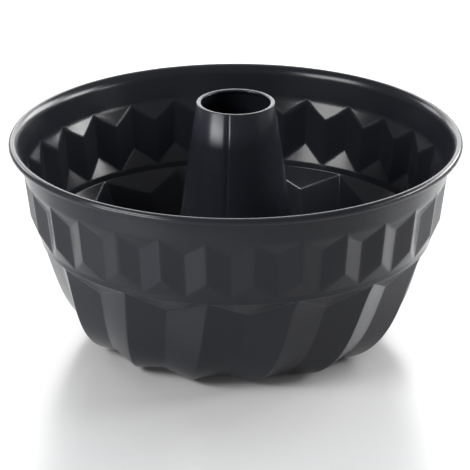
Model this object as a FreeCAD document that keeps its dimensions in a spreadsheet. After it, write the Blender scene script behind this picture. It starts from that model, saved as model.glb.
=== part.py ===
"""Bundt pan: a pressed steel bowl with a faceted band and swirled flutes, and a tapered centre tube.

Origin: the centre of the circle that the pan stands on. +Z is up, the pan is open at the top and the
tube stands on the axis. -Y is the front. Lengths are in millimetres and angles in degrees.
"""
import FreeCAD, Part
import math
import os

import Sketcher

doc = FreeCAD.newDocument("bundt_pan")

# ---------------------------------------------------------------- sizes
SIZES = [
    # overall
    ("rim_diameter", 224.0, "over the rolled rim"),
    ("rim_height", 103.0, "table to the top of the rim"),
    ("tube_height", 122.0, "table to the top of the centre tube"),
    ("sheet", 0.6, "bowl sheet thickness"),
    ("tube_sheet", 0.5, "tube sheet thickness"),
    # rim
    ("bead_radius", 2.0, "outside radius of the rolled rim"),
    ("bead_gap_angle", 25.0, "slot left between the end of the roll and the wall"),
    ("wall_lean", 16.0, "lean of the plain wall under the rim"),
    ("plain_wall_drop", 4.5, "rim middle down to where the plain wall starts to turn into facets"),
    # faceted band, drops measured down from the middle of the rolled rim
    ("facets", 28, "repeats of the faceted band"),
    ("shoulder_drop", 14.0, "upper corners of the band"),
    ("notch_drop", 20.7, "lower tips of the upper triangles"),
    ("notch_depth", 3.9, "tips of the upper triangles, in from the shoulder corners"),
    ("ridge_end_drop", 36.5, "upper tips of the lower triangles"),
    ("ridge_end_depth", 3.0, "tips of the lower triangles, in from the shoulder corners"),
    ("waist_drop", 44.5, "lower edge of the band"),
    ("waist_depth", 7.0, "lower edge of the band, in from the shoulder corners"),
    ("step_drop", 47.5, "top corners of the flutes"),
    ("step_depth", 8.0, "top corners of the flutes, in from the shoulder corners"),
    # flutes
    ("flute_lean", 24.4, "lean of a flute's ridge at its top"),
    ("wall_pull", 18.5, "length of the upper handle of the ridge curve"),
    ("floor_pull", 26.2, "length of the lower handle of the ridge curve"),
    ("keel_length", 13.4, "flat stretch of a ridge on the table, outwards from the flat ring"),
    ("groove_depth", 4.6, "groove of a flute, in from its ridge"),
    ("keel_groove_depth", 2.6, "the same where the ridges reach the table"),
    ("swirl_rate", 0.37, "turn of the flutes for each millimetre that the radius gets smaller"),
    ("ridge_angle", -97.8, "direction of the flute ridge nearest the front"),
    # seat of the tube and the flat ring, from the hole outwards
    ("hole_diameter", 74.6, "hole in the seat"),
    ("seat_width", 3.7, "edge of the hole to the edge of the raised seat"),
    ("seat_height", 3.0, "underside of the seat above the table"),
    ("seat_slope", 1.0, "run of the slope from the seat down to the flat ring"),
    ("ring_width", 5.0, "flat ring that the pan stands on"),
    ("turned_share", 0.5, "share of that ring that is turned with the seat"),
    # tube
    ("mouth_diameter", 38.6, "over the top of the tube"),
    ("foot_flare", 1.7, "neck past the lower end of the cone, on the radius"),
    ("lip_fold", 3.0, "height of the folded lip"),
    ("neck_clearance", 0.1, "tube neck to the hole, on the radius"),
    ("collar_height", 2.7, "bead of the tube above the seat"),
    ("collar_face", 1.4, "upright face of that bead"),
    ("collar_overhang", 1.4, "bead past the edge of the hole"),
    ("flange_overhang", 2.4, "turned-out flange past the edge of the hole"),
    ("lap_angle", 9.0, "width of the lap seam"),
    ("lap_rise", 0.5, "lap seam proud of the tube"),
    ("lap_foot_gap", 3.0, "lower end of the lap seam above the bead"),
    ("seam_angle", -100.0, "direction of the lap seam"),
]

sheet = doc.addObject("Spreadsheet::Sheet", "sizes")
for row, (alias, number, meaning) in enumerate(SIZES, start=1):
    sheet.set("A%d" % row, str(number))
    sheet.setAlias("A%d" % row, alias)
    sheet.set("B%d" % row, meaning)
doc.recompute()


def size(alias):
    return float(sheet.get(alias))


def sized(text):
    """Turn {alias} marks into references to the sheet."""
    return text.replace("{", "sizes.").replace("}", "")


def worked_out(text):
    """The number that an expression with {alias} marks gives, for a sketch's first drawing."""
    probe.setExpression("Value", sized(text))
    probe.recompute()
    return float(probe.Value)


probe = doc.addObject("App::FeaturePython", "probe")
probe.addProperty("App::PropertyFloat", "Value")


# ---------------------------------------------------------------- turned pieces
def revolve(body, name, corners, turn="360"):
    """Add a revolution about Z to a body.

    Each corner is (x, z) or (x, z, radius): expressions, where a radius makes the edge that arrives at
    the corner an arc, bulging to the left of its direction when it is positive.
    """
    sketch = body.newObject("Sketcher::SketchObject", name + "_sketch")
    plane = [o for o in body.Origin.OriginFeatures if o.Role == "XZ_Plane"][0]
    sketch.AttachmentSupport = [(plane, "")]
    sketch.MapMode = "FlatFace"
    places = [FreeCAD.Vector(worked_out(c[0]), worked_out(c[1]), 0) for c in corners]
    for index, corner in enumerate(corners):
        start = places[index - 1]
        end = places[index]
        if len(corner) == 2:
            sketch.addGeometry(Part.LineSegment(start, end))
            continue
        radius = worked_out(corner[2])
        chord = end - start
        left = FreeCAD.Vector(-chord.y, chord.x, 0).normalize() * math.copysign(1.0, radius)
        reach = math.sqrt(max(radius * radius - chord.Length ** 2 / 4.0, 0.0))
        if corner[-1] != "large":
            reach = -reach
        centre = (start + end) / 2.0 + left * reach
        first, last = (end, start) if radius > 0 else (start, end)
        angles = [math.atan2(p.y - centre.y, p.x - centre.x) for p in (first, last)]
        circle = Part.Circle(centre, FreeCAD.Vector(0, 0, 1), abs(radius))
        sketch.addGeometry(Part.ArcOfCircle(circle, angles[0], angles[1]))
    count = len(corners)
    ends = []
    for index in range(count):
        shape = sketch.Geometry[index]
        backwards = isinstance(shape, Part.ArcOfCircle) and shape.StartPoint.distanceToPoint(places[index]) < 1e-6
        ends.append((2, 1) if backwards else (1, 2))
    for index, corner in enumerate(corners):
        following = (index + 1) % count
        sketch.addConstraint(Sketcher.Constraint(
            "Coincident", index, ends[index][1], following, ends[following][0]))
        for kind, text in (("DistanceX", corner[0]), ("DistanceY", corner[1])):
            number = places[index].x if kind == "DistanceX" else places[index].y
            at = sketch.addConstraint(Sketcher.Constraint(kind, -1, 1, index, ends[index][1], number))
            sketch.setExpression("Constraints[%d]" % at, sized(text))
        if len(corner) > 2:
            at = sketch.addConstraint(Sketcher.Constraint("Radius", index, abs(worked_out(corner[2]))))
            sketch.setExpression("Constraints[%d]" % at, "abs(%s)" % sized(corner[2]))
    doc.recompute()
    feature = body.newObject("PartDesign::Revolution", name)
    feature.Profile = sketch
    feature.ReferenceAxis = (sketch, ["V_Axis"])
    feature.setExpression("Angle", sized(turn))
    feature.Midplane = True
    doc.recompute()
    return feature


# Rolled rim: the sheet leans outwards, turns over the top and rolls back under itself.
BEAD_X = "({rim_diameter} / 2 - {bead_radius})"
BEAD_Z = "({rim_height} - {bead_radius})"
INNER = "({bead_radius} - {sheet})"
END = "(180 + {wall_lean} + {bead_gap_angle} + 15)"
START_Z = "(%s - {plain_wall_drop})" % BEAD_Z


def wall_x(radius, height):
    """Radius of a face of the plain wall at a height: the face touches the circle of that radius."""
    return "(%s - %s * cos({wall_lean}) - (%s + %s * sin({wall_lean}) - %s) * tan({wall_lean}))" % (
        BEAD_X, radius, BEAD_Z, radius, height)


def on_bead(radius, angle):
    return "%s + %s * cos(%s)" % (BEAD_X, radius, angle), "%s + %s * sin(%s)" % (BEAD_Z, radius, angle)


rim = doc.addObject("PartDesign::Body", "rim")
TOUCH = "(180 - {wall_lean})"
revolve(rim, "roll", [
    (wall_x("{bead_radius}", START_Z), START_Z),
    on_bead("{bead_radius}", TOUCH),
    on_bead("{bead_radius}", END) + ("{bead_radius}", "large"),
    on_bead(INNER, END),
    on_bead(INNER, TOUCH) + ("-" + INNER, "large"),
    (wall_x(INNER, START_Z), START_Z),
])

# Floor around the tube: the inner part of the flat ring, and the raised seat with its hole.
HOLE_R = "({hole_diameter} / 2)"
SEAT_R = "(%s + {seat_width})" % HOLE_R
STEP_FOOT_R = "(%s + {seat_slope})" % SEAT_R
JOIN_R = "(%s + {ring_width} * {turned_share})" % STEP_FOOT_R
RING_R = "(%s + {ring_width})" % STEP_FOOT_R

floor = doc.addObject("PartDesign::Body", "floor")
revolve(floor, "seat", [
    (JOIN_R, "0"),
    (JOIN_R, "{sheet}"),
    (STEP_FOOT_R + " + {sheet} / 2", "{sheet}"),
    (SEAT_R + " + {sheet} / 2", "{seat_height} + {sheet}"),
    (HOLE_R, "{seat_height} + {sheet}"),
    (HOLE_R, "{seat_height}"),
    (SEAT_R + " - {sheet} / 2", "{seat_height}"),
    (STEP_FOOT_R + " - {sheet} / 2", "0"),
])

# ---------------------------------------------------------------- pressed wall
PITCH = 360.0 / size("facets")
FLUTE_STATIONS = [0.2, 0.36, 0.52, 0.68, 0.84, 1.0]    # along the ridge curve, from its top to the table
BEAD_MIDDLE = size("rim_height") - size("bead_radius")
SHOULDER_Z = BEAD_MIDDLE - size("shoulder_drop")
SHOULDER_R = worked_out(wall_x(INNER, "(%s - {shoulder_drop})" % BEAD_Z))


def polar(radius, angle, height):
    turn = math.radians(angle)
    return FreeCAD.Vector(radius * math.cos(turn), radius * math.sin(turn), height)


def band_corner(depth, drop, angle):
    return polar(SHOULDER_R - depth, angle, BEAD_MIDDLE - drop)


def ridge_curve(share):
    """Point (radius, height) of a flute's ridge between its top corner and the table, and its inward side."""
    lean = math.radians(size("flute_lean"))
    start = FreeCAD.Vector(SHOULDER_R - size("step_depth"), BEAD_MIDDLE - size("step_drop"), 0)
    end = FreeCAD.Vector(worked_out(RING_R) + size("keel_length"), 0, 0)
    curve = Part.BezierCurve()
    curve.setPoles([
        start,
        start + FreeCAD.Vector(-math.sin(lean), -math.cos(lean), 0) * size("wall_pull"),
        end + FreeCAD.Vector(size("floor_pull"), 0, 0),
        end,
    ])
    forward = curve.tangent(share)[0]
    return curve.value(share), FreeCAD.Vector(forward.y, -forward.x, 0).normalize()


def flute_ring(share):
    """One ring of corners round the flutes: ridge and groove in turn."""
    ridge, inward = ridge_curve(share)
    depth = size("groove_depth") + (size("keel_groove_depth") - size("groove_depth")) * share ** 3
    groove = ridge + inward * depth
    turn = size("ridge_angle") - size("swirl_rate") * (ridge_curve(0)[0].x - ridge.x)
    ring = []
    for index in range(int(size("facets"))):
        corner = groove if index % 2 else ridge
        ring.append(polar(corner.x, turn + index * PITCH, corner.y))
    return ring


def outer_rings():
    """Rings of corners of the outer face from the shoulder to the flat ring, and the faces between them."""
    count = int(size("facets"))
    ridges = [size("ridge_angle") + index * PITCH for index in range(count)]
    grooves = [angle + PITCH / 2.0 for angle in ridges]
    rings = [
        [band_corner(0, size("shoulder_drop"), a) for a in ridges],
        [band_corner(size("notch_depth"), size("notch_drop"), a) for a in grooves],
        [band_corner(size("ridge_end_depth"), size("ridge_end_drop"), a) for a in ridges],
        [band_corner(size("waist_depth"), size("waist_drop"), a) for a in grooves],
        [band_corner(size("step_depth"), size("step_drop"), a) for a in ridges],
    ]
    rings += [flute_ring(share) for share in FLUTE_STATIONS]
    ring_radius = worked_out(RING_R)
    last_turn = size("ridge_angle") - size("swirl_rate") * (ridge_curve(0)[0].x - ring_radius)
    rings.append([polar(ring_radius, last_turn + i * PITCH, 0) for i in range(count)])
    faces = []
    for i in range(count):
        j = (i + 1) % count
        faces.append([(0, i), (1, i), (0, j)])
        faces.append([(0, i), (2, i), (1, i)])
        faces.append([(2, i), (3, i), (1, i)])
        faces.append([(0, j), (1, i), (2, j)])
        faces.append([(2, j), (1, i), (3, i)])
        faces.append([(2, j), (3, i), (3, j)])
        faces.append([(3, i), (4, i), (4, j)])
        faces.append([(3, i), (4, j), (3, j)])
        for level in range(4, len(rings) - 1):
            ridge, groove = (i, j) if i % 2 == 0 else (j, i)
            faces.append([(level, ridge), (level + 1, ridge), (level + 1, groove)])
            faces.append([(level, ridge), (level + 1, groove), (level, groove)])
    return rings, faces


def facing_axis(corners):
    """Normal of a triangle of the outer face, turned into the pan."""
    normal = (corners[1] - corners[0]).cross(corners[2] - corners[0]).normalize()
    middle = (corners[0] + corners[1] + corners[2]) / 3.0
    target = FreeCAD.Vector(0, 0, size("rim_height"))
    return normal if normal.dot(target - middle) > 0 else normal * -1.0


def pushed_in(rings, faces):
    """The inner face's corners: each lies a sheet away from every facet that meets at the outer corner."""
    meeting = {}
    for face in faces:
        normal = facing_axis([rings[level][index] for level, index in face])
        for key in face:
            meeting.setdefault(key, []).append(normal)
    inner = []
    for level, ring in enumerate(rings):
        row = []
        for index, corner in enumerate(ring):
            mean = FreeCAD.Vector()
            for normal in meeting[(level, index)]:
                mean += normal
            mean.normalize()
            share = sum(mean.dot(normal) for normal in meeting[(level, index)]) / len(meeting[(level, index)])
            row.append(corner + mean * (size("sheet") / share))
        inner.append(row)
    last = len(rings) - 1
    for index, corner in enumerate(rings[last]):
        inner[last][index] = FreeCAD.Vector(corner.x, corner.y, size("sheet"))
    return inner


def arcs_above(ring, radius, height):
    """A full circle in as many arcs as a ring has corners, each above one side of the ring."""
    arcs = []
    for index, corner in enumerate(ring):
        beside = ring[(index + 1) % len(ring)]
        first = math.degrees(math.atan2(corner.y, corner.x))
        last = math.degrees(math.atan2(beside.y, beside.x))
        middle = first + ((last - first) % 360.0) / 2.0
        places = [polar(radius, angle, height) for angle in (first, middle, last)]
        arcs.append(Part.Arc(*places).toShape())
    return arcs


def plain_wall(ring, arcs):
    """Ruled faces from the sides of a ring of corners up to the arcs of a circle."""
    faces = []
    for index, arc in enumerate(arcs):
        side = Part.LineSegment(ring[index], ring[(index + 1) % len(ring)])
        faces.append(Part.makeRuledSurface(arc, side.toShape()))
    return faces


def flat_ring(outside, inside):
    return Part.makeFace([outside, inside], "Part::FaceMakerBullseye")


def circle_wire(radius, height):
    return Part.Wire(Part.makeCircle(radius, FreeCAD.Vector(0, 0, height)))


def loop(ring):
    return Part.makePolygon(ring + ring[:1])


def pressed_wall():
    outer, faces = outer_rings()
    inner = pushed_in(outer, faces)
    top_z = BEAD_MIDDLE - size("plain_wall_drop")
    outer_arcs = arcs_above(outer[0], worked_out(wall_x(INNER, START_Z)), top_z)
    inner_arcs = arcs_above(inner[0], worked_out(wall_x("{bead_radius}", START_Z)), top_z)
    join = worked_out(JOIN_R)
    skin = [Part.Face(loop([rings[level][index] for level, index in face]))
            for rings in (outer, inner) for face in faces]
    skin += plain_wall(outer[0], outer_arcs)
    skin += plain_wall(inner[0], inner_arcs)
    skin.append(flat_ring(Part.Wire(outer_arcs), Part.Wire(inner_arcs)))
    skin.append(flat_ring(loop(outer[-1]), circle_wire(join, 0)))
    skin.append(flat_ring(loop(inner[-1]), circle_wire(join, size("sheet"))))
    skin.append(Part.makeCylinder(join, size("sheet")).Faces[0])
    shell = Part.makeShell(skin)
    shell.sewShape()
    solid = Part.makeSolid(shell)
    return solid if solid.Volume > 0 else solid.reversed()


wall = doc.addObject("Part::Feature", "pressed_wall")
wall.Shape = pressed_wall()

bowl = doc.addObject("Part::MultiFuse", "bowl")
bowl.Shapes = [wall, rim, floor]
bowl.Label = "bowl"

# ---------------------------------------------------------------- centre tube
# Rolled from flat sheet with a lap seam, lip folded in. Its foot clasps the edge of the seat: a bead
# lies on top of it, the neck passes through the hole and a flange is turned out below it.
NECK_R = "(%s - {neck_clearance})" % HOLE_R
SEAT_TOP = "({seat_height} + {sheet})"
COLLAR_TOP = "(%s + {collar_height})" % SEAT_TOP
COLLAR_R = "(%s + {collar_overhang})" % HOLE_R
FLANGE_R = "(%s + {flange_overhang})" % HOLE_R
LIP_Z = "({tube_height} - {tube_sheet})"
FOLD_Z = "({tube_height} - {lip_fold})"


def cone_x(height):
    """Outside radius of the cone, from the mouth down to the top of the bead."""
    spread = "(%s - {foot_flare} - {mouth_diameter} / 2)" % NECK_R
    return "({mouth_diameter} / 2 + %s * (%s - %s) / (%s - %s))" % (spread, LIP_Z, height, LIP_Z, COLLAR_TOP)


tube = doc.addObject("PartDesign::Body", "tube")
tube.Label = "centre_tube"
revolve(tube, "cone", [
    (cone_x(COLLAR_TOP), COLLAR_TOP),
    (cone_x(LIP_Z), LIP_Z),
    (cone_x(LIP_Z) + " - {tube_sheet}", "{tube_height}", "-{tube_sheet}"),
    (cone_x(LIP_Z) + " - 2 * {tube_sheet}", LIP_Z, "-{tube_sheet}"),
    (cone_x(FOLD_Z) + " - 2 * {tube_sheet}", FOLD_Z),
    (cone_x(FOLD_Z) + " - {tube_sheet}", FOLD_Z),
    (cone_x(COLLAR_TOP) + " - {tube_sheet}", COLLAR_TOP + " - {tube_sheet} / 2"),
    (COLLAR_R + " - {tube_sheet}", SEAT_TOP + " + {collar_face} - {tube_sheet} / 2"),
    (COLLAR_R + " - {tube_sheet}", SEAT_TOP + " + {tube_sheet}"),
    (NECK_R + " - {tube_sheet}", SEAT_TOP + " + {tube_sheet}"),
    (NECK_R + " - {tube_sheet}", "{seat_height} - {tube_sheet}"),
    (FLANGE_R, "{seat_height} - {tube_sheet}"),
    (FLANGE_R, "{seat_height}"),
    (NECK_R, "{seat_height}"),
    (NECK_R, SEAT_TOP),
    (COLLAR_R, SEAT_TOP),
    (COLLAR_R, SEAT_TOP + " + {collar_face}"),
])
LAP_FOOT_Z = "(%s + {lap_foot_gap})" % COLLAR_TOP
revolve(tube, "lap_seam", [
    (cone_x(LAP_FOOT_Z) + " - {tube_sheet} / 2", LAP_FOOT_Z),
    (cone_x(LAP_FOOT_Z) + " + {lap_rise}", LAP_FOOT_Z),
    (cone_x(FOLD_Z) + " + {lap_rise}", FOLD_Z),
    (cone_x(FOLD_Z) + " - {tube_sheet} / 2", FOLD_Z),
], "{lap_angle}")
tube.Placement = FreeCAD.Placement(FreeCAD.Vector(), FreeCAD.Rotation(FreeCAD.Vector(0, 0, 1), size("seam_angle")))

# ---------------------------------------------------------------- checks and files
doc.recompute()
for item in doc.Objects:
    if "Invalid" in item.State or "Error" in item.State:
        raise RuntimeError(item.Name + " did not build")

NODES = [bowl, tube]
for node in NODES:
    shape = node.Shape
    if shape.isNull() or not shape.isValid() or len(shape.Solids) != 1:
        raise RuntimeError(node.Label + " has no single good solid")
os.makedirs("parts", exist_ok=True)
for node in NODES:
    node.Shape.exportStep("parts/%s.step" % node.Label)
    print(node.Label, "%.1f cm3" % (node.Shape.Volume / 1000.0))
print("clash %.4f mm3" % bowl.Shape.common(tube.Shape).Volume)
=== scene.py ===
# Bundt pan: a pressed, coated steel bowl with a rolled rim, and its tapered centre tube.
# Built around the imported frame, in metres.
import math

import bmesh
import bpy
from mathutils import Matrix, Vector


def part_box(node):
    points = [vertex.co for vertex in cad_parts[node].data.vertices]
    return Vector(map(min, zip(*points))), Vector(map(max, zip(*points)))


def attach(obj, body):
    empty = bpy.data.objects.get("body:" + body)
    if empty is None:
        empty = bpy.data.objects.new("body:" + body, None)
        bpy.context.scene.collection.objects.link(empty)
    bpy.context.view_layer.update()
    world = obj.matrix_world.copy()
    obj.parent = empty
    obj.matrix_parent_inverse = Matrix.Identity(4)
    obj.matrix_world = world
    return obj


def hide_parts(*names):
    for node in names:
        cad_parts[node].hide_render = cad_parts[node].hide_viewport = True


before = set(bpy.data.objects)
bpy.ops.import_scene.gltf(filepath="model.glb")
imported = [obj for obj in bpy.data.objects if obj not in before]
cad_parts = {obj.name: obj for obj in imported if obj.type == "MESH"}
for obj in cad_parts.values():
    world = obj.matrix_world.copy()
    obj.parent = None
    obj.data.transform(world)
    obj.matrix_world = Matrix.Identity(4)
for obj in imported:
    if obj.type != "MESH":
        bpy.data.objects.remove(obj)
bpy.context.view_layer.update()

mm = 0.001
print("frame loaded:", sorted(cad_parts))


# small tools for working in edit mode

def clearSelection():
    if bpy.context.object and bpy.context.object.mode != "OBJECT":
        bpy.ops.object.mode_set(mode="OBJECT")
    bpy.ops.object.select_all(action="DESELECT")


def selectVerts(piece, test):
    # selects the vertices that pass the test, and the edges and faces between them
    mesh = bmesh.from_edit_mesh(piece.data)
    for face in mesh.faces:
        face.select = False
    for edge in mesh.edges:
        edge.select = False
    for vert in mesh.verts:
        vert.select = bool(test(vert.co))
    mesh.select_flush(True)
    bmesh.update_edit_mesh(piece.data)


def degreesBetween(first, second):
    return abs((first - second + 180.0) % 360.0 - 180.0)


def direction(point):
    return math.degrees(math.atan2(point.y, point.x))


def startRing(name, columns, radius, height, firstAngle):
    clearSelection()
    bpy.ops.mesh.primitive_circle_add(vertices=columns, radius=radius, location=(0, 0, height),
                                      rotation=(0, 0, math.radians(firstAngle)))
    piece = bpy.context.object
    piece.name = name
    piece.data.name = name
    bpy.ops.object.transform_apply(location=True, rotation=True, scale=True)
    bpy.ops.object.mode_set(mode="EDIT")
    bpy.ops.mesh.select_mode(type="VERT")
    bpy.ops.mesh.select_all(action="SELECT")
    return piece


def moveSelected(scale, lift):
    bpy.ops.transform.resize(value=(scale, scale, 1), center_override=(0, 0, 0))
    bpy.ops.transform.translate(value=(0, 0, lift))


def turnSelected(angle):
    # with no window the operator turns the other way round
    bpy.ops.transform.rotate(value=-math.radians(angle), orient_axis="Z", center_override=(0, 0, 0))


def selectOnly(piece, members):
    mesh = bmesh.from_edit_mesh(piece.data)
    for vert in mesh.verts:
        vert.select = vert.index in members
    mesh.select_flush_mode()
    bmesh.update_edit_mesh(piece.data)


def nextRing(piece, columnTurn, places, former):
    # draws a new ring out of the selected one; places and former hold one (radius, height) for each kind
    # of column, and the kinds repeat round the ring
    bpy.ops.mesh.extrude_region_move()
    mesh = bmesh.from_edit_mesh(piece.data)
    mesh.verts.index_update()
    ring = {vert.index: direction(vert.co) for vert in mesh.verts if vert.select}
    step = 360.0 / len(ring)
    kinds = {}
    for index, angle in ring.items():
        kinds.setdefault(round((angle - columnTurn) / step) % len(places), set()).add(index)
    for kind, members in sorted(kinds.items()):
        selectOnly(piece, members)
        moveSelected(places[kind][0] / former[kind][0], places[kind][1] - former[kind][1])
    selectOnly(piece, set(ring))


# bowl: one sheet, pressed

bowlSizes = {
    "sheet": 0.6 * mm,
    "rimRadius": round(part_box("bowl")[1].x, 4),
    "rimHeight": round(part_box("bowl")[1].z, 4),
    "beadRadius": 2.0 * mm,
    "rollSteps": 9,
    "rollFrom": 236,              # degrees round the roll where the sheet's edge lies
    "throatFrom": 125,            # degrees round the roll where the throat takes over
    "throatRadius": 5.0 * mm,
    "wallLean": 14.0,             # degrees
    "wallRows": (0.08, 0.5),      # extra rings down the plain wall
    "columns": 56,                # four for each flute
    "ridgeAngle": -97.8,          # degrees, a ridge near the front
    "shoulder": (104.53 * mm, 87.0 * mm),
    "notch": (100.5 * mm, 79.6 * mm),
    "ridgeEnd": (101.6 * mm, 65.6 * mm),
    "waist": (97.4 * mm, 56.5 * mm),
    "step": (96.7 * mm, 53.5 * mm),
    "fluteLean": 24.4,            # degrees
    "wallPull": 18.5 * mm,
    "floorPull": 26.2 * mm,
    "keelRadius": 60.4 * mm,
    "ringRadius": 47.0 * mm,
    "grooveDepth": 4.6 * mm,
    "keelGrooveDepth": 2.6 * mm,
    "facetShare": 0.17,           # how far down a flute its upper facet ends
    "fluteRows": (0.32, 0.44, 0.56, 0.68, 0.8, 0.9, 1.0),
    "runOut": 0.45,               # share of a groove that is left half way to the flat ring
    "swirl": 0.37,                # degrees for each millimetre inwards
    "seatFoot": 41.7 * mm,
    "seatEdge": 40.7 * mm,
    "seatHeight": 3.0 * mm,
    "holeRadius": 37.3 * mm,
    "foldFrom": 11.0,             # degrees between two faces that make a fold
    "foldWidth": 0.9 * mm,        # the widest rounding of a fold
    "mergeBelow": 0.08 * mm,      # specks that the rounding leaves are merged
    # how sharp each kind of fold is drawn, and the half width of its rounding
    "folds": {"upright": (1.0, 0.7 * mm), "slanted": (1.0, 0.9 * mm), "shoulder": (0.5, 0),
              "ledge": (1.0, 0.3 * mm), "flute": (1.0, 0.5 * mm)},
}


def between(low, high, share):
    return low + (high - low) * share


def ridgePoint(share):
    # a place on a flute's ridge, a share of the way from its top to the table, and the way in from it
    s = bowlSizes
    lean = math.radians(s["fluteLean"])
    top = Vector(s["step"])
    bottom = Vector((s["keelRadius"], 0))
    upper = top + Vector((-math.sin(lean), -math.cos(lean))) * s["wallPull"]
    lower = bottom + Vector((s["floorPull"], 0))
    u = 1 - share
    place = top * u**3 + upper * (3 * u * u * share) + lower * (3 * u * share**2) + bottom * share**3
    along = (upper - top) * (u * u) + (lower - upper) * (2 * u * share) + (bottom - lower) * share**2
    return place, Vector((along.y, -along.x)).normalized()


def flutePlaces(share):
    # ridge, side, groove and side of a flute, each as (radius, height)
    s = bowlSizes
    ridge, inward = ridgePoint(share)
    groove = ridge + inward * between(s["grooveDepth"], s["keelGrooveDepth"], share**3)
    flat = math.cos(math.tau / s["columns"])
    middle = Vector(((ridge.x + groove.x) / 2 * flat, (ridge.y + groove.y) / 2))
    return ridge, middle, groove, middle


def upperFacet():
    # the facet that cuts a groove's upper end: its lowest corner, the middle of a slanted side, and its own
    s = bowlSizes
    top = s["step"]
    apex = flutePlaces(s["facetShare"])[2]
    flat = math.cos(math.tau / s["columns"])
    onFacet = ((top[0] + apex.x) / 2, (top[1] + apex.y) / 2)
    return apex, (onFacet[0] * flat, onFacet[1]), onFacet


def makeBowl():
    s = bowlSizes
    skin = s["beadRadius"] - s["sheet"]
    bead = Vector((s["rimRadius"] - s["beadRadius"], s["rimHeight"] - s["beadRadius"]))
    lean = math.radians(s["wallLean"])
    # the roll starts under the rim, and ends where the gentler throat above the wall takes over;
    # its corners stand a little outside, because smoothing pulls them in
    sweepEnd = math.radians(s["throatFrom"]) + math.tau
    sweepStart = math.radians(s["rollFrom"])
    swell = 3 / (2 + math.cos((sweepEnd - sweepStart) / s["rollSteps"]))
    rolls = []
    for index in range(s["rollSteps"] + 1):
        angle = between(sweepStart, sweepEnd, index / s["rollSteps"])
        reach = skin if index in (0, s["rollSteps"]) else skin * swell
        rolls.append((bead.x + reach * math.cos(angle), bead.y + reach * math.sin(angle)))
    throat = s["throatRadius"]
    centre = bead + Vector((math.cos(sweepEnd), math.sin(sweepEnd))) * (skin - throat)
    for share in (0.5, 1.0):
        angle = between(sweepEnd, math.pi - lean + math.tau, share)
        rolls.append((centre.x + throat * math.cos(angle), centre.y + throat * math.sin(angle)))
    bowl = startRing("bowlSheet", s["columns"], rolls[0][0], rolls[0][1], s["ridgeAngle"])
    former = [rolls[0]] * 4
    turn = s["ridgeAngle"]

    def ring(places, newTurn=None):
        nonlocal former, turn
        places = [tuple(place) for place in places]
        nextRing(bowl, turn, places, former)
        former = places
        if newTurn is not None:
            turnSelected(newTurn - turn)
            turn = newTurn

    for place in rolls[1:]:
        ring([place] * 4)
    # plain wall, a straight line down to the shoulder
    wallTop = rolls[-1]
    for share in s["wallRows"]:
        ring([(between(wallTop[0], s["shoulder"][0], share),
               between(wallTop[1], s["shoulder"][1], share))] * 4)
    ring([s["shoulder"]] * 4)

    # band of facets
    notchShare = (s["shoulder"][1] - s["notch"][1]) / (s["shoulder"][1] - s["ridgeEnd"][1])
    ridgeAtNotch = (between(s["shoulder"][0], s["ridgeEnd"][0], notchShare), s["notch"][1])
    endShare = (s["notch"][1] - s["ridgeEnd"][1]) / (s["notch"][1] - s["waist"][1])
    grooveAtEnd = (between(s["notch"][0], s["waist"][0], endShare), s["ridgeEnd"][1])
    ring([ridgeAtNotch, s["notch"], ridgeAtNotch, s["notch"]])
    ring([s["ridgeEnd"], grooveAtEnd, s["ridgeEnd"], grooveAtEnd])
    ring([s["waist"]] * 4)
    ring([s["step"]] * 4)

    # flutes: their upper facets first, then ridges and grooves
    def swirlAt(radius):
        return s["ridgeAngle"] - s["swirl"] * (s["step"][0] - radius) / mm

    ridge = ridgePoint(s["facetShare"] / 2)[0]
    onFold, onFacet = upperFacet()[1:]
    ring([ridge, onFold, onFacet, onFold], swirlAt(ridge.x))
    for share in (s["facetShare"],) + s["fluteRows"]:
        ring(flutePlaces(share), swirlAt(ridgePoint(share)[0].x))
    half = (s["keelRadius"] + s["ringRadius"]) / 2
    rise = s["keelGrooveDepth"] * s["runOut"]
    flat = math.cos(math.tau / s["columns"])
    ring([(half, 0), (half * flat, rise / 2), (half, rise), (half * flat, rise / 2)], swirlAt(half))
    ring([(s["ringRadius"], 0)] * 4, swirlAt(s["ringRadius"]))

    # flat ring, raised seat and hole, with close rings that hold the seat's corners
    foot, edge, seat, hole = s["seatFoot"], s["seatEdge"], s["seatHeight"], s["holeRadius"]
    for place in ((foot + 2.0 * mm, 0), (foot + 0.3 * mm, 0), (foot - 0.1 * mm, 0.3 * mm),
                  (edge + 0.1 * mm, seat - 0.3 * mm), (edge - 0.3 * mm, seat),
                  (hole + 0.5 * mm, seat), (hole, seat)):
        ring([place] * 4)
    return bowl


def joinCorners(piece, first, second):
    # cuts the faces between the corners that pass the two tests
    selectVerts(piece, lambda p: first(p) or second(p))
    bpy.ops.mesh.vert_connect()


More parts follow.
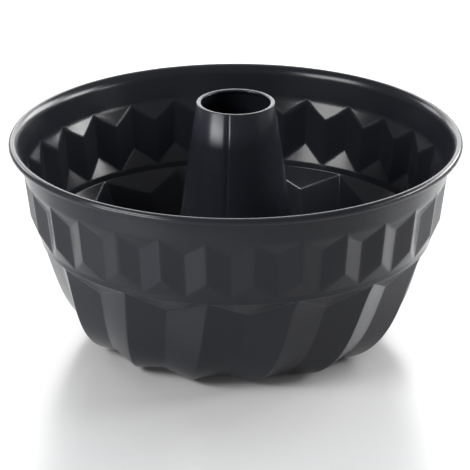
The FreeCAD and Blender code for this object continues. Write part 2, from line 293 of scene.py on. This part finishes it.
def finishBowl(bowl):
    s = bowlSizes
    columnWidth = 360.0 / s["columns"]
    near = 0.3 * mm               # corners are found within this distance
    levelFrom = 4.0               # degrees: an edge that spans more lies along a ring
    uprightTo = 1.0               # degrees: an edge that spans less stands upright

    def column(point):
        return round((direction(point) - s["ridgeAngle"]) / columnWidth)

    def level(point, place):
        return abs(point.z - place[1]) < near and abs(math.hypot(point.x, point.y) - place[0]) < near

    # corners of the facets are joined by their folds
    joinCorners(bowl, lambda p: level(p, s["shoulder"]) and column(p) % 2 == 0,
                lambda p: level(p, s["notch"]))
    joinCorners(bowl, lambda p: level(p, s["ridgeEnd"]),
                lambda p: level(p, s["waist"]) and column(p) % 2 == 1)
    apex, onFold = upperFacet()[:2]
    joinCorners(bowl, lambda p: level(p, apex) or level(p, onFold),
                lambda p: level(p, s["step"]) and column(p) % 4 == 0)

    # folds stay sharp; rings that bend round the flutes are no folds
    bpy.ops.mesh.select_mode(type="EDGE")
    bpy.ops.mesh.select_all(action="DESELECT")
    bpy.ops.mesh.edges_select_sharp(sharpness=math.radians(s["foldFrom"]))
    mesh = bmesh.from_edit_mesh(bowl.data)
    keel = s["keelRadius"] - 0.5 * mm
    for edge in mesh.edges:
        if edge.select:
            first, second = edge.verts[0].co, edge.verts[1].co
            middle = (first + second) / 2
            across = degreesBetween(direction(first), direction(second)) > levelFrom
            inBand = middle.z < s["shoulder"][1] + 1 * mm and math.hypot(middle.x, middle.y) > keel
            edge.select = inBand and not (across and max(first.z, second.z) < apex[1] + 1 * mm)
    bmesh.update_edit_mesh(bowl.data)
    print("bowl folds:", sum(edge.select for edge in mesh.edges))
    kinds = {}
    for edge in mesh.edges:
        if edge.select:
            first, second = edge.verts[0].co, edge.verts[1].co
            height = (first.z + second.z) / 2
            upright = degreesBetween(direction(first), direction(second)) < uprightTo
            if height < s["step"][1] - near:
                kind = "flute"
            elif height < s["waist"][1] + near:
                kind = "ledge"
            elif height > s["shoulder"][1] - near:
                kind = "shoulder"
            else:
                kind = "upright" if upright else "slanted"
            kinds[edge.index] = kind
    for kind, (crease, radius) in s["folds"].items():
        mesh = bmesh.from_edit_mesh(bowl.data)
        mesh.edges.ensure_lookup_table()
        for edge in mesh.edges:
            edge.select = kinds.get(edge.index) == kind
        bmesh.update_edit_mesh(bowl.data)
        bpy.ops.transform.edge_crease(value=crease)
        if radius:
            bpy.ops.transform.edge_bevelweight(value=radius / s["foldWidth"])
    bpy.ops.mesh.select_all(action="SELECT")
    bpy.ops.mesh.normals_make_consistent(inside=True)
    bpy.ops.object.mode_set(mode="OBJECT")

    smooth = bowl.modifiers.new("smooth", "SUBSURF")
    smooth.levels = smooth.render_levels = 2
    bpy.ops.object.modifier_apply(modifier="smooth")
    rounding = bowl.modifiers.new("folds", "BEVEL")
    rounding.limit_method = "WEIGHT"
    rounding.width = s["foldWidth"]
    rounding.segments = 2
    rounding.use_clamp_overlap = False
    bpy.ops.object.modifier_apply(modifier="folds")
    bpy.ops.object.mode_set(mode="EDIT")
    bpy.ops.mesh.select_all(action="SELECT")
    bpy.ops.mesh.remove_doubles(threshold=s["mergeBelow"])
    bpy.ops.object.mode_set(mode="OBJECT")
    sheet = bowl.modifiers.new("sheet", "SOLIDIFY")
    sheet.thickness = s["sheet"]
    sheet.offset = -1
    bpy.ops.object.modifier_apply(modifier="sheet")
    bpy.ops.object.shade_smooth()
    facing = bowl.modifiers.new("facing", "WEIGHTED_NORMAL")
    facing.keep_sharp = True
    bpy.ops.object.modifier_apply(modifier="facing")
    print("bowl:", len(bowl.data.polygons), "faces")


bowlSheet = makeBowl()
finishBowl(bowlSheet)


# centre tube: a rolled and lapped cone, beaded above the seat and flanged below it

tubeSizes = {
    "columns": 144,
    "sheet": 0.5 * mm,
    "height": round(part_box("centre_tube")[1].z, 4),
    "mouthRadius": 19.3 * mm,
    "footRadius": 35.5 * mm,
    "footHeight": 6.3 * mm,
    "beadRadius": 38.7 * mm,
    "beadTop": 5.0 * mm,
    "seatTop": 3.6 * mm,
    "seatBottom": 3.0 * mm,
    "neckRadius": 37.2 * mm,
    "flangeRadius": 39.7 * mm,
    "hemWidth": 2.2 * mm,
    "lipFold": 3.0 * mm,
    "coneFoot": 8.0 * mm,         # height where the straight cone starts
    "coneRows": 7,
    "smoothTo": 35.0,             # degrees, sharper folds keep their edge
    "seamAngle": -100.0,          # degrees
    # columns beside the lap: degrees that each is turned by, and how far it is pressed in
    "seam": {-2: (-0.5, 0), -1: (0, 0.25 * mm), 0: (-0.3, 0.45 * mm), 1: (-1.9, 0.22 * mm),
             2: (-3.4, 0.03 * mm), 3: (-4.0, 0), 4: (-3.0, 0), 5: (-1.5, 0)},
}


def makeTube():
    s = tubeSizes
    sheet = s["sheet"]
    lipHeight = s["height"] - sheet
    lean = (s["footRadius"] - s["mouthRadius"]) / (lipHeight - s["footHeight"])

    def cone(height):
        return s["mouthRadius"] + lean * (lipHeight - height)

    # the profile, once round: flange, neck, bead, cone, folded lip, and the inner skin down again
    profile = [(s["flangeRadius"], s["seatBottom"]), (s["neckRadius"], s["seatBottom"]),
               (s["neckRadius"], s["seatTop"]), (s["beadRadius"], s["seatTop"]),
               (s["beadRadius"], s["beadTop"] - 0.3 * mm),
               (s["beadRadius"] - 0.5 * mm, s["beadTop"] + 0.15 * mm),
               (s["footRadius"] + 0.5 * mm, s["footHeight"] - 0.15 * mm),
               (cone(s["coneFoot"]), s["coneFoot"])]
    for row in range(1, s["coneRows"] + 1):
        height = between(s["coneFoot"], lipHeight, row / s["coneRows"])
        profile.append((cone(height), height))
    # the lip, a flattened hem turned inwards
    mouth, top, hem = s["mouthRadius"], s["height"], s["hemWidth"]
    profile += [(mouth - 0.08 * mm, top - 0.22 * mm), (mouth - 0.35 * mm, top - 0.03 * mm),
                (mouth - 0.8 * mm, top), (mouth - hem + 0.6 * mm, top - 0.05 * mm),
                (mouth - hem + 0.15 * mm, top - 0.3 * mm), (mouth - hem, top - 0.7 * mm),
                (mouth - hem + 0.15 * mm, top - 1.1 * mm), (mouth - hem + 0.7 * mm, top - 1.6 * mm)]
    fold = lipHeight - s["lipFold"]
    profile.append((cone(fold) - sheet, fold))
    for share in (0.5, 1.0):
        height = between(fold, s["footHeight"] - sheet / 2, share)
        profile.append((cone(height) - sheet, height))
    bead, neck, below = s["beadRadius"] - sheet, s["neckRadius"] - sheet, s["seatBottom"] - sheet
    profile += [(bead, s["beadTop"] - sheet / 2), (bead, s["seatTop"] + sheet),
                (neck, s["seatTop"] + sheet), (neck, below),
                (s["flangeRadius"], below), (s["flangeRadius"], s["seatBottom"])]

    tube = startRing("tubeSheet", s["columns"], profile[0][0], profile[0][1], s["seamAngle"])
    for former, place in zip(profile, profile[1:]):
        nextRing(tube, s["seamAngle"], [place], [former])
    bpy.ops.mesh.select_all(action="SELECT")
    bpy.ops.mesh.remove_doubles(threshold=0.01 * mm)
    bpy.ops.mesh.normals_make_consistent(inside=False)

    # lap seam: one sheet's edge lies over the other, which dips to pass under it
    columnNear = 0.4              # degrees within which a corner belongs to a column
    for number, (turned, pressed) in s["seam"].items():
        angle = s["seamAngle"] + number * 360.0 / s["columns"]
        selectVerts(tube, lambda p: degreesBetween(direction(p), angle) < columnNear and p.z > s["footHeight"])
        turnSelected(turned)
        inwards = math.radians(angle + turned + 180)
        bpy.ops.transform.translate(value=(pressed * math.cos(inwards), pressed * math.sin(inwards), 0))
    bpy.ops.object.mode_set(mode="OBJECT")
    bpy.ops.object.shade_smooth_by_angle(angle=math.radians(s["smoothTo"]))
    return tube


tubeSheet = makeTube()
print("tube:", len(tubeSheet.data.polygons), "faces")


# materials

def linear(code):
    # sRGB hex to linear colour
    parts = [int(code[place:place + 2], 16) / 255 for place in (1, 3, 5)]
    return tuple(part / 12.92 if part <= 0.04045 else ((part + 0.055) / 1.055) ** 2.4
                 for part in parts) + (1.0,)


mixFactor, mixFirst, mixSecond = 0, 6, 7  # sockets of a Mix node that mixes colours


def addNode(tree, kind, settings=None, values=None, links=None):
    # one node, with its settings, its socket values and what feeds its sockets
    node = tree.nodes.new(kind)
    for name, value in (settings or {}).items():
        setattr(node, name, value)
    for socket, value in (values or {}).items():
        node.inputs[socket].default_value = value
    for socket, source in (links or {}).items():
        tree.links.new(source, node.inputs[socket])
    return node


def newMaterial(name):
    material = bpy.data.materials.new(name)
    material.use_nodes = True
    material.node_tree.nodes.clear()
    return material, material.node_tree


def nonStickSteel(name, dark, light, roughness, grain):
    # Non-stick coated steel: pressed sheet with a sprayed and baked dark coating. To the eye it is a
    # near-black, half-gloss skin that mirrors the room softly, with a faint orange peel. Its gloss is
    # that of a fluoropolymer, so the IOR is low.
    material, tree = newMaterial(name)
    place = addNode(tree, "ShaderNodeTexCoord").outputs["Object"]
    # clouds of slightly uneven coating, about 25 mm across
    clouds = addNode(tree, "ShaderNodeTexNoise", values={"Scale": 40.0, "Detail": 3.0, "Roughness": 0.55},
                     links={"Vector": place})
    # orange peel, about 1 mm across
    peel = addNode(tree, "ShaderNodeTexNoise", values={"Scale": 900.0, "Detail": 2.0, "Roughness": 0.6},
                   links={"Vector": place})
    colour = addNode(tree, "ShaderNodeMix", {"data_type": "RGBA"},
                     {mixFirst: linear(dark), mixSecond: linear(light)}, {mixFactor: clouds.outputs["Fac"]})
    # gloss is uneven by a few hundredths, with the clouds
    rough = addNode(tree, "ShaderNodeMapRange",
                    values={"From Min": 0.3, "From Max": 0.7,
                            "To Min": roughness - 0.015, "To Max": roughness + 0.02},
                    links={"Value": clouds.outputs["Fac"]})
    bump = addNode(tree, "ShaderNodeBump", values={"Strength": grain, "Distance": 0.05 * mm},
                   links={"Height": peel.outputs["Fac"]})
    shader = addNode(tree, "ShaderNodeBsdfPrincipled", values={"IOR": 1.34, "Metallic": 0.0},
                     links={"Base Color": colour.outputs[2], "Roughness": rough.outputs["Result"],
                            "Normal": bump.outputs["Normal"]})
    addNode(tree, "ShaderNodeOutputMaterial", links={"Surface": shader.outputs["BSDF"]})
    return material


def coat(piece, material):
    piece.data.materials.clear()
    piece.data.materials.append(material)


coat(bowlSheet, nonStickSteel("nonStickCoatedSteel", "#1c1d22", "#202126", 0.21, 0.15))
coat(tubeSheet, nonStickSteel("nonStickCoatedTube", "#1b1d23", "#1e2026", 0.25, 0.15))
print("materials ready")


# floor, light and camera

def makeFloor():
    # painted board, plain and pale, with a soft sheen
    clearSelection()
    bpy.ops.mesh.primitive_plane_add(size=6.0, location=(0, 0, 0))
    floor = bpy.context.object
    floor.name = "studioFloor"
    material, tree = newMaterial("paintedStudioFloor")
    place = addNode(tree, "ShaderNodeTexCoord").outputs["Object"]
    clouds = addNode(tree, "ShaderNodeTexNoise", values={"Scale": 3.0}, links={"Vector": place})
    colour = addNode(tree, "ShaderNodeMix", {"data_type": "RGBA"},
                     {mixFirst: linear("#cacaca"), mixSecond: linear("#d2d2d2")},
                     {mixFactor: clouds.outputs["Fac"]})
    shader = addNode(tree, "ShaderNodeBsdfPrincipled", values={"Roughness": 0.3, "Specular IOR Level": 0.5},
                     links={"Base Color": colour.outputs[2]})
    addNode(tree, "ShaderNodeOutputMaterial", links={"Surface": shader.outputs["BSDF"]})
    coat(floor, material)


# azimuth is counted in plan from +X, both angles are in degrees, sizes and distances are in metres,
# and brightness is what the box shows in a mirror
studioBoxes = {
    "leftBox": {"azimuth": 212, "elevation": 32, "distance": 1.0, "size": (0.5, 0.36), "brightness": 14.0},
    "leftStrip": {"azimuth": 218, "elevation": 0, "distance": 1.0, "size": (0.64, 0.08), "brightness": 42.0},
    "rightBox": {"azimuth": 14, "elevation": 22, "distance": 1.1, "size": (0.6, 0.36), "brightness": 6.0},
    "rightCore": {"azimuth": 7, "elevation": 20, "distance": 1.07, "size": (0.36, 0.22), "brightness": 15.0},
    "rightFront": {"azimuth": -15, "elevation": 12, "distance": 2.0, "size": (0.36, 0.3), "brightness": 9.0},
    "backBox": {"azimuth": 94, "elevation": 36, "distance": 2.0, "size": (1.9, 0.42), "brightness": 5.5},
    "backWall": {"azimuth": 90, "elevation": 19, "distance": 2.0, "size": (2.6, 0.6), "brightness": 4.5},
    "rightBack": {"azimuth": 44, "elevation": 24, "distance": 1.2, "size": (0.6, 0.36), "brightness": 14.0},
    "leftBack": {"azimuth": 136, "elevation": 24, "distance": 1.2, "size": (0.3, 0.3), "brightness": 8.0},
    "ceiling": {"azimuth": 90, "elevation": 72, "distance": 2.0, "size": (1.2, 1.2), "brightness": 1.2,
                "colour": (0.8, 0.89, 1.0)},
}
aimHeight = 0.05
worldBrightness = 0.3


def addBox(name, azimuth, elevation, distance, size, brightness, colour=(1, 1, 1)):
    clearSelection()
    turn, rise = math.radians(azimuth), math.radians(elevation)
    away = Vector((math.cos(turn) * math.cos(rise), math.sin(turn) * math.cos(rise), math.sin(rise)))
    bpy.ops.object.light_add(type="AREA", location=Vector((0, 0, aimHeight)) + away * distance)
    lamp = bpy.context.object
    lamp.name = name
    lamp.data.shape = "RECTANGLE"
    lamp.data.size, lamp.data.size_y = size
    lamp.data.color = colour
    lamp.data.energy = math.pi * size[0] * size[1] * brightness
    lamp.rotation_euler = away.to_track_quat("Z", "Y").to_euler()
    lamp.visible_camera = False


def makeLight():
    world = bpy.data.worlds.new("studio")
    bpy.context.scene.world = world
    world.use_nodes = True
    background = world.node_tree.nodes["Background"]
    background.inputs["Color"].default_value = (1, 1, 1, 1)
    background.inputs["Strength"].default_value = worldBrightness
    for name, box in studioBoxes.items():
        addBox(name, **box)
    bpy.context.scene.view_settings.view_transform = "Standard"


# metres and degrees; the camera stands in front, above the pan's middle height, and looks down at it
cameraSizes = {"distance": 2.5536, "rise": 20.28, "heightAbove": 0.101, "aimHeight": 0.0518,
               "lens": 397.7, "shift": -0.0015}


def makeCamera():
    s = cameraSizes
    rise = math.radians(s["rise"])
    bpy.ops.object.camera_add(location=(0, -s["distance"] * math.cos(rise),
                                        s["heightAbove"] + s["distance"] * math.sin(rise)))
    camera = bpy.context.object
    camera.name = "studioCamera"
    towards = Vector((0, 0, s["aimHeight"])) - camera.location
    camera.rotation_euler = towards.to_track_quat("-Z", "Y").to_euler()
    camera.data.sensor_width = 36.0
    camera.data.lens = s["lens"]
    camera.data.shift_x = s["shift"]
    camera.data.clip_end = 50.0
    bpy.context.scene.camera = camera


makeFloor()
makeLight()
makeCamera()

for piece, node, slot in ((bowlSheet, "bowl", "bowl_coating"), (tubeSheet, "centre_tube", "tube_coating")):
    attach(piece, "root")
    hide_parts(node)
print("pieces ride on root")
